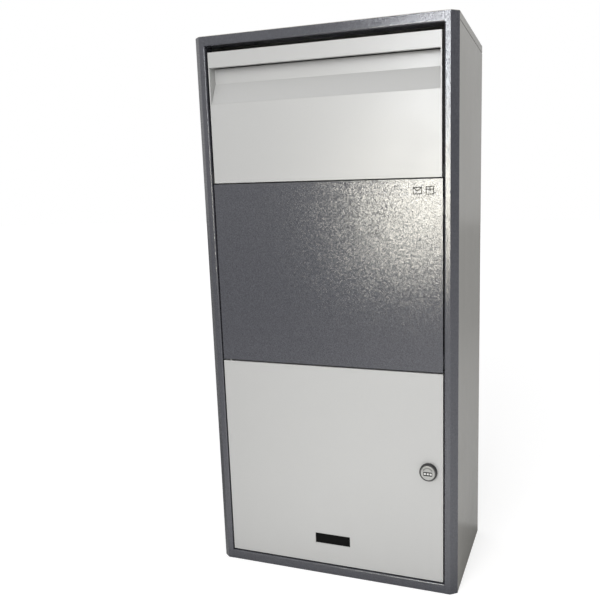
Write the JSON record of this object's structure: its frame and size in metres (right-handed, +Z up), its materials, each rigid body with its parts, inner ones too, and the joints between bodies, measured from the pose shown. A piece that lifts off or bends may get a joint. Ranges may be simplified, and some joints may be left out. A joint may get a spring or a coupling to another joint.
{
  "type": "parcel drop box",
  "caption": "Tall steel parcel drop box: tilting hopper door at the top, fixed middle panel, hinged collection door with a combination cam lock below.",
  "frame": {"origin": "middle of the cabinet's base, on the floor, halfway between its sides and between the frame's front face and the back panel", "axes": "+X to the right seen from the front, +Y from the doors towards the wall, +Z up"},
  "size_m": [0.6, 0.3084, 1.25],
  "materials": {
    "frame_paint": "dark grey hammertone powder coat",
    "door_paint": "off-white fine-texture powder coat",
    "shell_paint": "light warm grey powder coat",
    "inner_steel": "zinc-plated sheet",
    "fastener_steel": "bright zinc",
    "lock_chrome": "satin chrome on die-cast zinc",
    "lock_black": "black-plated die-cast zinc",
    "black_nylon": "black glass-filled nylon",
    "dial_plastic": "white moulded plastic with dark digits",
    "window_plastic": "smoked acrylic, black from outside",
    "bumper_rubber": "black rubber"
  },
  "bodies": {
    "cabinet": {"frame_left_stile": "frame_paint", "frame_right_stile": "frame_paint", "frame_bottom_rail": "frame_paint", "frame_top_rail": "frame_paint", "side_panel_left": "shell_paint", "side_panel_right": "shell_paint", "top_cover": "shell_paint", "back_panel": "shell_paint", "bottom_panel": "shell_paint", "middle_panel": "frame_paint", "cross_rail_upper": "frame_paint", "cross_rail_lower": "frame_paint", "panel_studs": "fastener_steel", "hopper_pivot_block_left": "black_nylon", "hopper_pivot_block_right": "black_nylon", "hopper_stop_left": "black_nylon", "hopper_stop_right": "black_nylon", "hinge_bracket_upper": "inner_steel", "hinge_pin_upper": "fastener_steel", "hinge_pin_lower": "fastener_steel", "hinge_washer": "black_nylon", "strike_plate": "inner_steel", "strike_screws": "fastener_steel", "door_bumpers": "bumper_rubber"},
    "hopper": {"hopper_door": "door_paint", "hopper_grip_channel": "door_paint", "hopper_cheek_left": "door_paint", "hopper_cheek_right": "door_paint", "hopper_tray": "inner_steel", "hopper_pivot_pin_left": "fastener_steel", "hopper_pivot_pin_right": "fastener_steel"},
    "door": {"door_skin": "door_paint", "door_stiffener": "inner_steel", "window_pane": "window_plastic", "window_retainer": "inner_steel", "window_screws": "fastener_steel", "lock_housing": "lock_black", "lock_nut": "lock_chrome"},
    "lock": {"lock_knob": "lock_chrome", "lock_dial_axle": "fastener_steel", "lock_cam": "fastener_steel", "lock_cam_screw": "fastener_steel"},
    "dial_1": {"lock_dial_1": "dial_plastic"},
    "dial_2": {"lock_dial_2": "dial_plastic"},
    "dial_3": {"lock_dial_3": "dial_plastic"}
  },
  "joints": [
    {"name": "hopper_tilt", "type": "hinge", "parent": "cabinet", "child": "hopper", "pos_m": [0, -0.1415, 0.939], "axis": [1, 0, 0], "range_deg": [0, 60]},
    {"name": "door_swing", "type": "hinge", "parent": "cabinet", "child": "door", "pos_m": [-0.2533, -0.139, 0.27], "axis": [0, 0, -1], "range_deg": [0, 105]},
    {"name": "lock_turn", "type": "hinge", "parent": "door", "child": "lock", "pos_m": [0.236, -0.148, 0.289], "axis": [0, -1, 0], "range_deg": [0, 90]},
    {"name": "dial_1_spin", "type": "hinge", "parent": "lock", "child": "dial_1", "pos_m": [0.2294, -0.1544, 0.287], "axis": [1, 0, 0], "continuous": true},
    {"name": "dial_2_spin", "type": "hinge", "parent": "lock", "child": "dial_2", "pos_m": [0.236, -0.1544, 0.287], "axis": [1, 0, 0], "continuous": true},
    {"name": "dial_3_spin", "type": "hinge", "parent": "lock", "child": "dial_3", "pos_m": [0.2426, -0.1544, 0.287], "axis": [1, 0, 0], "continuous": true}
  ]
}
